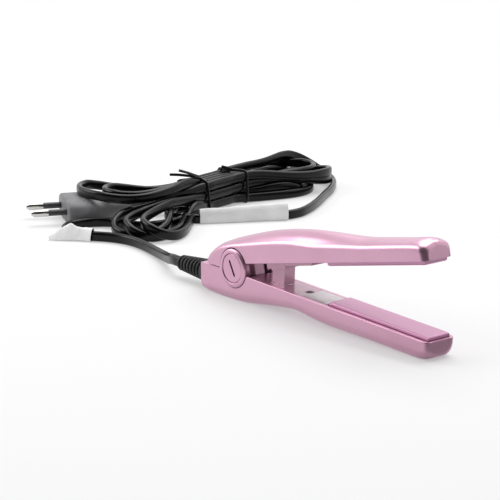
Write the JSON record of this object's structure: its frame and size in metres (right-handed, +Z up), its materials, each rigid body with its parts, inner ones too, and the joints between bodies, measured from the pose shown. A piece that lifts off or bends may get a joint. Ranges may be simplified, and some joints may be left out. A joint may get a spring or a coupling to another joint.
{
  "type": "mini hair straightener",
  "caption": "Small flat iron standing open on a table: two hinged arms with heated plates, and a bundled flat lead with a two-pin plug.",
  "frame": {"origin": "on the table under the hinge pin, at the centre of the casing's heel", "axes": "+X from the hinge to the tips, +Y across the casing, +Z up"},
  "size_m": [0.3235, 0.2204, 0.0483],
  "materials": {
    "casing": "pearl lacquer over moulded plastic",
    "cover": "glossy",
    "frame": "satin",
    "plate": "satin coated",
    "ceramic": "plain",
    "film": "smooth",
    "steel": "plain",
    "label": "bare foil",
    "wire": "smooth",
    "nylon": "plain",
    "cord": "soft satin",
    "tie": "ribbed",
    "tag": "bare",
    "plug": "matt moulded",
    "pin_metal": "nickel plated"
  },
  "bodies": {
    "lower_arm": {"lower_shell": "casing", "rear_lid": "casing", "lower_cover": "cover", "lower_cover_screw": "steel", "rating_sticker": "label", "lower_plate_frame": "frame", "lower_plate": "plate", "lower_heater": "ceramic", "lower_heater_film": "film", "lower_heater_clip": "steel", "thermal_fuse": "steel", "wire_splices": "steel", "supply_cores": "wire", "lower_leads": "wire", "link_wires": "wire", "cord_clamp": "nylon", "cord_clamp_screws": "steel", "strain_relief": "cord", "hinge_pin": "steel", "hinge_cap_near": "casing", "hinge_cap_far": "casing", "torsion_spring": "steel", "hinge_washers": "steel", "cord_lead": "cord", "cord_hank": "cord", "cord_drop": "cord", "cord_tail": "cord", "twist_tie_left": "tie", "twist_tie_right": "tie", "cord_tag_near": "tag", "cord_tag_far": "tag", "plug_body": "plug", "plug_pins": "pin_metal", "plug_pin_sleeves": "cord"},
    "upper_arm": {"upper_leads": "wire", "upper_shell": "casing", "upper_cover": "cover", "upper_cover_screw": "steel", "upper_plate_frame": "frame", "upper_plate": "plate", "upper_heater": "ceramic", "upper_heater_film": "film", "upper_heater_clip": "steel"}
  },
  "joints": [
    {"name": "arm_hinge", "type": "hinge", "parent": "lower_arm", "child": "upper_arm", "pos_m": [0, 0, 0.015], "axis": [0, 1, 0], "range_deg": [0, 13.8], "stiffness_Nm_per_rad": 0.57, "springref_deg": -15.01, "deforming": ["torsion_spring", "link_wires"]}
  ]
}
